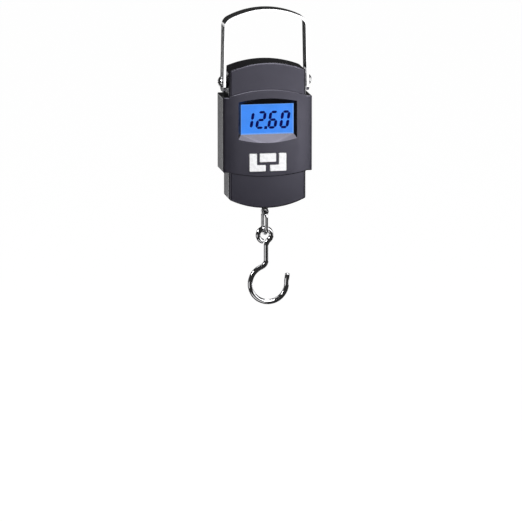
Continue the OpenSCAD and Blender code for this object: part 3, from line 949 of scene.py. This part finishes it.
@dataclass
class Housing:
    """The two covers, the battery door and the case screws."""

    crown_from: float = 23.0 * MM
    crown_depth: float = 0.85 * MM
    crown_steps: int = 7
    rise: float = 1.0 * MM
    front: TwoZonePlastic = TwoZonePlastic("front_plastic")
    rear: MouldedPlastic = MouldedPlastic(
        "rear_plastic", (0.006, 0.006, 0.0075), 0.16, relief=0.002 * MM
    )
    door: MouldedPlastic = MouldedPlastic("door_plastic", (0.010, 0.010, 0.012), 0.3, coat=0.2)
    zinc: Metal = Metal("case_screw_zinc", (0.45, 0.45, 0.46))
    bush: SoftRubber = SoftRubber("bush_rubber")

    def front_shell(self) -> bpy.types.Object:
        """Copies the front cover and lets the band's face fall away towards its two sides.

        Returns:
            The crowned copy.
        """
        low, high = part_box("front_cover")
        mesh = bmesh.new()
        mesh.from_mesh(frame["nodes"]["front_cover"].data)
        bmesh.ops.remove_doubles(mesh, verts=mesh.verts, dist=MERGE_GAP)
        reach = high.x - self.crown_from
        for step in range(self.crown_steps):
            cut = self.crown_from + reach * step / self.crown_steps
            for side in (-cut, cut):
                everything = mesh.verts[:] + mesh.edges[:] + mesh.faces[:]
                bmesh.ops.bisect_plane(
                    mesh, geom=everything, dist=CUT_GAP, plane_co=(side, 0, 0), plane_no=(1, 0, 0)
                )
        for vert in mesh.verts:
            out = max(0.0, (abs(vert.co.x) - self.crown_from) / reach)
            proud = min(1.0, max(0.0, (low.y + self.rise - vert.co.y) / self.rise))
            vert.co.y += self.crown_depth * out ** 2 * proud
        return Shape.weighted(Shape.from_bmesh("front_shell", mesh, 16.0))

    def build(self) -> None:
        """Crowns the front cover, rounds the door's edges and dresses the rest."""
        place(self.front_shell(), "housing", "front_plastic", self.front.material(), "front_cover")
        dress("rear_cover", self.rear.material())
        door = Shape.softened("door_plate", "battery_door", 0.2 * MM)
        place(door, "battery_door", "rear_plastic", self.door.material(), "battery_door")
        dress("case_screws", self.zinc.material())
        dress("rod_bush", self.bush.material())


class Key(Enum):
    """The three keys, by their CAD node."""

    POWER = "power_button"
    UNIT = "unit_button"
    TARE = "tare_button"


@dataclass
class Keys:
    """The group of three silver-white keys."""

    rounding: float = 0.45 * MM
    paint: PlatedKey = PlatedKey("key_paint")

    def build(self) -> None:
        """Rounds each key and paints it."""
        paint = self.paint.material()
        for key in Key:
            piece = Shape.softened(key.value.replace("button", "key_cap"), key.value, self.rounding, 4)
            place(piece, key.value, "key_plastic", paint, key.value)


class Segment(Enum):
    """The seven bars of a digit: upright or level, and its place in half heights and half widths."""

    TOP = ("level", 0.0, 1.0)
    MIDDLE = ("level", 0.0, 0.0)
    BOTTOM = ("level", 0.0, -1.0)
    UPPER_LEFT = ("upright", -1.0, 0.5)
    UPPER_RIGHT = ("upright", 1.0, 0.5)
    LOWER_LEFT = ("upright", -1.0, -0.5)
    LOWER_RIGHT = ("upright", 1.0, -0.5)


DIGITS: dict[str, tuple[Segment, ...]] = {
    "0": (Segment.TOP, Segment.BOTTOM, Segment.UPPER_LEFT, Segment.UPPER_RIGHT, Segment.LOWER_LEFT,
          Segment.LOWER_RIGHT),
    "1": (Segment.UPPER_RIGHT, Segment.LOWER_RIGHT),
    "2": (Segment.TOP, Segment.MIDDLE, Segment.BOTTOM, Segment.UPPER_RIGHT, Segment.LOWER_LEFT),
    "6": (Segment.TOP, Segment.MIDDLE, Segment.BOTTOM, Segment.UPPER_LEFT, Segment.LOWER_LEFT,
          Segment.LOWER_RIGHT),
}


@dataclass
class Display:
    """Window, backlit glass and the digits of a sample reading."""

    reading: str = "1260"
    point_after: int = 2
    pitch: float = 9.4 * MM
    last_x: float = 14.1 * MM
    drop: float = 0.9 * MM
    digit_w: float = 5.0 * MM
    digit_h: float = 12.1 * MM
    upright_bar: float = 2.3 * MM
    level_bar: float = 1.9 * MM
    gap: float = 0.16 * MM
    slant: float = math.tan(math.radians(9.0))
    ink_t: float = 0.03 * MM
    view_half: Point2 = (20.65 * MM, 11.75 * MM)
    ink: DisplayInk = DisplayInk("display_ink")
    window: ClearWindow = ClearWindow("clear_window")
    guide: MouldedPlastic = MouldedPlastic("light_guide", (0.7, 0.74, 0.8), 0.45)
    zebra: SoftRubber = SoftRubber("zebra_rubber", (0.05, 0.03, 0.04))

    def bar_outline(self, segment: Segment) -> list[Point2]:
        """Outline of one bar with pointed ends, before the slant.

        Args:
            segment: which bar.

        Returns:
            Corners in X and Z about the digit's centre.
        """
        lie, across, up = segment.value
        half_w, half_h = self.digit_w / 2, self.digit_h / 2
        half_bar = (self.level_bar if lie == "level" else self.upright_bar) / 2
        if lie == "level":
            reach = half_w - self.gap
            z = up * half_h
            inner = reach - half_bar
            return [(-reach, z), (-inner, z + half_bar), (inner, z + half_bar), (reach, z),
                    (inner, z - half_bar), (-inner, z - half_bar)]
        reach = half_h / 2 - self.gap
        inner = reach - half_bar
        x, z = across * half_w, up * half_h
        return [(x, z - reach), (x + half_bar, z - inner), (x + half_bar, z + inner),
                (x, z + reach), (x - half_bar, z + inner), (x - half_bar, z - inner)]

    def digits(self, centre: Vector, y: float) -> bpy.types.Object:
        """Draws the reading as thin plates on the display glass.

        Args:
            centre: middle of the glass.
            y: front of the plates.

        Returns:
            The digits and their point, as one object.
        """
        mesh = bmesh.new()
        mid_z = centre.z - self.drop
        for i, figure in enumerate(self.reading):
            x0 = centre.x + self.last_x - self.pitch * (len(self.reading) - 1 - i)
            for segment in DIGITS[figure]:
                outline = [(x0 + x + z * self.slant, mid_z + z) for x, z in self.bar_outline(segment)]
                Shape.plate(mesh, outline, y, self.ink_t)
        places_after = len(self.reading) - self.point_after
        x0 = centre.x + self.last_x - self.pitch * (places_after - 0.5)
        low = -self.digit_h / 2
        half = self.upright_bar / 2
        dot = [(-half, low - half), (half, low - half), (half, low + half), (-half, low + half)]
        Shape.plate(mesh, [(x0 + x + z * self.slant, mid_z + z) for x, z in dot], y, self.ink_t)
        return Shape.from_bmesh("reading_digits", mesh)

    def build(self) -> None:
        """Lights the glass, draws the reading and clears the window."""
        low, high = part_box("lcd_panel")
        centre = (low + high) / 2
        glass = BacklitGlass("backlit_glass", (centre.x, centre.z), self.view_half)
        dress("lcd_panel", glass.material())
        dress("display_window", self.window.material())
        dress("backlight", self.guide.material())
        dress("zebra_strip", self.zebra.material())
        place(self.digits(centre, low.y - 2 * self.ink_t), "housing", "lcd", self.ink.material())


@dataclass
class LoadTrain:
    """Pull rod, link and hook below the housing, and the cell they pull on."""

    wire: float = 4.0 * MM
    ring_r: float = 5.2 * MM
    hook_len: float = 38.6 * MM
    bowl_r: float = 14.4 * MM
    stem_x: float = 1.2 * MM
    bowl_x: float = 2.9 * MM
    neck_r: float = 6.0 * MM
    tip_len: float = 7.0 * MM
    tip_flare: float = 13.0
    ring_end: float = 252.0
    steel: PolishedSteel = PolishedSteel("wire_steel", roughness=0.07, line_relief=0.0004 * MM)
    rod: PolishedSteel = PolishedSteel("rod_steel", roughness=0.12, lines=(1, 1, 5))
    aluminium: Metal = Metal("cell_aluminium", (0.72, 0.73, 0.75), 0.25)
    zinc: Metal = Metal("bar_zinc", (0.5, 0.5, 0.51), 0.35, lines=(6, 1, 1))
    foil: Metal = Metal("gauge_foil", (0.72, 0.5, 0.2), 0.3)

    def hook_path(self) -> list[Vector]:
        """Centreline of the hook, from the end of its eye down the stem and round the bowl.

        Returns:
            Points with Y = 0.
        """
        ring_z = joint_place("hook_swing").z - self.ring_r
        bowl_z = ring_z - self.hook_len
        turn = math.acos((self.stem_x + self.neck_r) / (self.ring_r + self.neck_r))
        neck_z = ring_z - (self.ring_r + self.neck_r) * math.sin(turn)
        knee_dx = self.stem_x - self.neck_r - self.bowl_x
        knee_z = bowl_z + math.sqrt((self.bowl_r + self.neck_r) ** 2 - knee_dx ** 2)
        neck, knee = math.degrees(turn), math.degrees(math.atan2(knee_z - bowl_z, knee_dx))
        tip_r = self.tip_len / math.radians(self.tip_flare)
        stretches = [
            arc((0, ring_z), self.ring_r, self.ring_end, -neck, 72),
            arc((self.stem_x + self.neck_r, neck_z), self.neck_r, 180 - neck, 180, 14),
            [Vector((self.stem_x, 0, neck_z + (knee_z - neck_z) * i / 8)) for i in range(9)],
            arc((self.stem_x - self.neck_r, knee_z), self.neck_r, 0, knee - 180, 18),
            arc((self.bowl_x, bowl_z), self.bowl_r, knee, 360, 90),
            arc((self.bowl_x + self.bowl_r + tip_r, bowl_z), tip_r, 180, 180 - self.tip_flare, 10),
        ]
        path = stretches[0]
        for stretch in stretches[1:]:
            path = path + stretch[1:]
        return path

    def build(self) -> None:
        """Draws the hook's wire and dresses the rest."""
        steel = self.steel.material()
        hook = Shape.tube("hook_wire", self.hook_path(), self.wire / 2)
        place(hook, "hook", "polished_steel", steel, "hook")
        dress("link", steel)
        rod = Shape.softened("pull_rod_eye", "pull_rod", 0.3 * MM)
        place(rod, "housing", "polished_steel", self.rod.material(), "pull_rod")
        dress("load_cell", self.aluminium.material())
        dress("strain_gauges", self.foil.material())
        zinc = self.zinc.material()
        for node in ("cross_bar", "cell_bolt", "rod_nut"):
            dress(node, zinc)


@dataclass
class Electronics:
    """Board, chip, switches and buzzer, with the batteries and their contacts."""

    mask: SolderMask = SolderMask("board_mask")
    resin: MouldedPlastic = MouldedPlastic("chip_resin", (0.006, 0.006, 0.006), 0.15, relief=0.001 * MM)
    switch: MouldedPlastic = MouldedPlastic("switch_plastic", (0.02, 0.02, 0.022), 0.45)
    contact: PolishedSteel = PolishedSteel("contact_steel", roughness=0.18)

    def build(self) -> None:
        """Dresses what the covers hide."""
        dress("circuit_board", self.mask.material())
        dress("control_chip", self.resin.material())
        switch = self.switch.material()
        contact = self.contact.material()
        for node in ("key_switches", "buzzer"):
            dress(node, switch)
        for node in ("battery_springs", "battery_plates"):
            dress(node, contact)
        low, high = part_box("batteries")
        split = low.z + (high.z - low.z) * 0.7
        dress("batteries", CellSleeve("cell_sleeve", split=split).material())


# ---------------------------------------------------------------- studio


@dataclass(frozen=True)
class Softbox:
    """A square lamp with a soft edge, aimed at a point."""

    name: str
    at: tuple[float, float, float]
    size: Point2
    power: float
    aim: tuple[float, float, float] = (0.0, 0.0, -0.09)
    colour: Colour = (1.0, 1.0, 1.0)

    def build(self) -> None:
        """Hangs the lamp."""
        data = bpy.data.lights.new(self.name, "AREA")
        data.shape = "RECTANGLE"
        data.size, data.size_y = self.size
        data.energy = self.power
        data.color = self.colour
        lamp = bpy.data.objects.new(self.name, data)
        lamp.location = self.at
        direction = Vector(self.aim) - Vector(self.at)
        lamp.rotation_mode = "QUATERNION"
        lamp.rotation_quaternion = direction.to_track_quat("-Z", "Y")
        lamp.visible_camera = False
        bpy.context.scene.collection.objects.link(lamp)


@dataclass
class Studio:
    """Camera, lamps, paper floor and backdrop."""

    azimuth: float = -10.0
    elevation: float = 11.0
    view_width: float = 405.9 * MM
    distance: float = 5.2
    aim: tuple[float, float, float] = (-2.9 * MM, 0.0, -197.1 * MM)
    sensor: float = 36.0
    floor_z: float = -0.75
    reach: float = 6.0
    room: Colour = (1.0, 1.0, 1.0)
    room_strength: float = 0.035
    paper: StudioPaper = StudioPaper("studio_paper")
    backdrop: StudioPaper = StudioPaper("backdrop_paper", (0.0, 0.0, 0.0), 1.0)
    lamps: tuple[Softbox, ...] = (
        Softbox("front_panel", (0.67, -0.42, 0.075), (1.3, 0.42), 3.7, (0.67, 0.0, 0.075)),
        Softbox("key_box", (0.19, -0.73, 0.66), (0.8, 0.65), 7.0, (0.0, 0.0, -0.11)),
        Softbox("top_box", (0.12, 0.0, 1.0), (0.6, 0.45), 5.0),
        Softbox("face_side_lamp", (0.075, -0.20, -0.132), (0.03, 0.08), 0.04, (0.03, 0.0, -0.105)),
        Softbox("left_lamp", (-0.9, -0.3, 0.35), (0.3, 0.3), 3.0),
        Softbox("right_panel", (1.3, 0.15, -0.12), (0.9, 0.9), 3.0),
        Softbox("back_low_panel", (0.86, 1.05, -0.42), (1.6, 0.5), 3.4, (0.86, 0.0, -0.12)),
        Softbox("left_low_panel", (-1.3, -0.75, -0.55), (0.8, 0.5), 1.6),
        Softbox("top_back_box", (-0.55, 0.45, 1.1), (0.9, 0.5), 2.4),
        Softbox("low_front_box", (-0.2, -0.45, -0.72), (0.6, 0.3), 0.6),
        Softbox("back_left_panel", (-0.55, 1.0, -0.45), (0.7, 0.9), 1.9, (0.0, 0.0, -0.1)),
        Softbox("back_high_box", (0.6, 0.7, 1.5), (0.6, 0.6), 9.0),
    )

    def camera(self) -> None:
        """Sets the camera at the viewing angle, with a long lens."""
        a, e = math.radians(self.azimuth), math.radians(self.elevation)
        back = Vector((math.sin(a) * math.cos(e), -math.cos(a) * math.cos(e), math.sin(e)))
        data = bpy.data.cameras.new("camera")
        data.sensor_width = self.sensor
        data.lens = self.sensor * self.distance / self.view_width
        camera = bpy.data.objects.new("camera", data)
        camera.location = Vector(self.aim) + back * self.distance
        camera.rotation_mode = "QUATERNION"
        camera.rotation_quaternion = (-back).to_track_quat("-Z", "Y")
        bpy.context.scene.collection.objects.link(camera)
        bpy.context.scene.camera = camera

    def paper_shell(self) -> None:
        """Lays the paper floor and closes it with a dome; neither lights nor shows in the object."""
        floor = bmesh.new()
        bmesh.ops.create_grid(floor, x_segments=2, y_segments=2, size=self.reach)
        dome = bmesh.new()
        bmesh.ops.create_uvsphere(dome, u_segments=48, v_segments=24, radius=self.reach)
        shells = (("paper_floor", floor, self.paper), ("paper_dome", dome, self.backdrop))
        for name, mesh, paper in shells:
            shell = Shape.from_bmesh(name, mesh)
            shell.location.z = self.floor_z
            shell.data.materials.append(paper.material())
            shell.visible_diffuse = False
            shell.visible_glossy = False
            shell.visible_shadow = False

    def world(self) -> None:
        """Lights the room faintly and evenly."""
        world = bpy.data.worlds.new("room")
        world.use_nodes = True
        background = world.node_tree.nodes["Background"]
        background.inputs["Color"].default_value = rgba(self.room)
        background.inputs["Strength"].default_value = self.room_strength
        bpy.context.scene.world = world
        bpy.context.scene.view_settings.view_transform = "Standard"

    def build(self) -> None:
        """Builds the whole studio."""
        self.camera()
        self.world()
        self.paper_shell()
        for lamp in self.lamps:
            lamp.build()


def main() -> None:
    """Builds the studio and every sub-assembly in order."""
    logging.basicConfig(level=logging.INFO, format="%(message)s")
    for part in (Studio(), Bail(), Housing(), Keys(), Display(), LoadTrain(), Electronics()):
        LOG.info("building %s", type(part).__name__)
        part.build()


if __name__ == "__main__":
    main()
